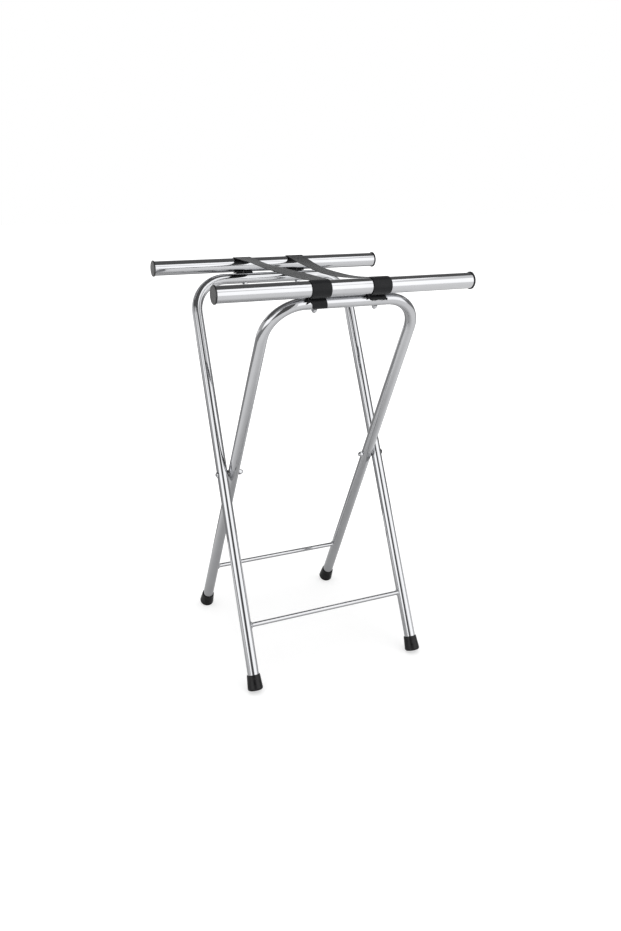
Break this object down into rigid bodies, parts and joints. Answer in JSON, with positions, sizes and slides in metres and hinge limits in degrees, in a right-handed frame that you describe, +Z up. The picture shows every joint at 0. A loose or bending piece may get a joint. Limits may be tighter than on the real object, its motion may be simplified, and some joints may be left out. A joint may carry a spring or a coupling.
{
  "type": "folding tray stand",
  "caption": "Folding serving tray stand: crossed chrome tube frames on one pivot axis, round top rails with end plugs, webbing straps that stop the spread, stretcher rods and rubber feet.",
  "frame": {"origin": "on the floor, under the middle of the stand when it is open", "axes": "+X along the rails to the right seen from the front, +Y from the front rail to the back rail, +Z up"},
  "size_m": [0.515, 0.4048, 0.7906],
  "materials": {
    "frame_chrome": "bright chrome plate on steel tube",
    "rail_chrome": "bright chrome plate on steel tube",
    "hardware_chrome": "bright plated steel",
    "washer_steel": "plain plated steel",
    "webbing": "black woven webbing",
    "plug_plastic": "moulded black plastic",
    "foot_rubber": "moulded black rubber"
  },
  "bodies": {
    "outer_frame": {"outer_frame_tube": "frame_chrome", "outer_stretcher_rod": "frame_chrome", "back_rail": "rail_chrome", "back_rail_plug_left": "plug_plastic", "back_rail_plug_right": "plug_plastic", "back_rail_bolt_left": "hardware_chrome", "back_rail_bolt_right": "hardware_chrome", "back_rail_nut_left": "hardware_chrome", "back_rail_nut_right": "hardware_chrome", "pivot_bolt_left": "hardware_chrome", "pivot_bolt_right": "hardware_chrome", "pivot_nut_left": "hardware_chrome", "pivot_nut_right": "hardware_chrome", "pivot_washer_left": "washer_steel", "pivot_washer_right": "washer_steel", "foot_front_left": "foot_rubber", "foot_front_right": "foot_rubber", "strap_back_end_left": "webbing", "strap_back_end_right": "webbing"},
    "inner_frame": {"inner_frame_tube": "frame_chrome", "inner_stretcher_rod": "frame_chrome", "front_rail": "rail_chrome", "front_rail_plug_left": "plug_plastic", "front_rail_plug_right": "plug_plastic", "front_rail_bolt_left": "hardware_chrome", "front_rail_bolt_right": "hardware_chrome", "front_rail_nut_left": "hardware_chrome", "front_rail_nut_right": "hardware_chrome", "foot_back_left": "foot_rubber", "foot_back_right": "foot_rubber", "strap_front_end_left": "webbing", "strap_front_end_right": "webbing"},
    "strap_back_left": {"strap_back_run_left": "webbing"},
    "strap_back_right": {"strap_back_run_right": "webbing"},
    "strap_front_left": {"strap_front_run_left": "webbing"},
    "strap_front_right": {"strap_front_run_right": "webbing"}
  },
  "joints": [
    {"name": "fold", "type": "hinge", "parent": "outer_frame", "child": "inner_frame", "pos_m": [0, 0, 0.38129], "axis": [-1, 0, 0], "range_deg": [0, 45.7]},
    {"name": "strap_back_left_hang", "type": "hinge", "parent": "outer_frame", "child": "strap_back_left", "pos_m": [0, 0.18547, 0.77366], "axis": [1, 0, 0], "range_deg": [0, 65.8], "deforming": ["strap_back_run_left"]},
    {"name": "strap_back_right_hang", "type": "hinge", "parent": "outer_frame", "child": "strap_back_right", "pos_m": [0, 0.18547, 0.77366], "axis": [1, 0, 0], "range_deg": [0, 61.47], "deforming": ["strap_back_run_right"]},
    {"name": "strap_front_left_hang", "type": "hinge", "parent": "inner_frame", "child": "strap_front_left", "pos_m": [0, -0.18547, 0.77366], "axis": [-1, 0, 0], "range_deg": [0, 65.8], "deforming": ["strap_front_run_left"]},
    {"name": "strap_front_right_hang", "type": "hinge", "parent": "inner_frame", "child": "strap_front_right", "pos_m": [0, -0.18547, 0.77366], "axis": [-1, 0, 0], "range_deg": [0, 61.47], "deforming": ["strap_front_run_right"]}
  ],
  "couplings": [
    {"joint": "strap_back_left_hang", "follows": "fold", "ratio": 1.4388},
    {"joint": "strap_back_right_hang", "follows": "fold", "ratio": 1.344},
    {"joint": "strap_front_left_hang", "follows": "fold", "ratio": 1.4388},
    {"joint": "strap_front_right_hang", "follows": "fold", "ratio": 1.344}
  ]
}
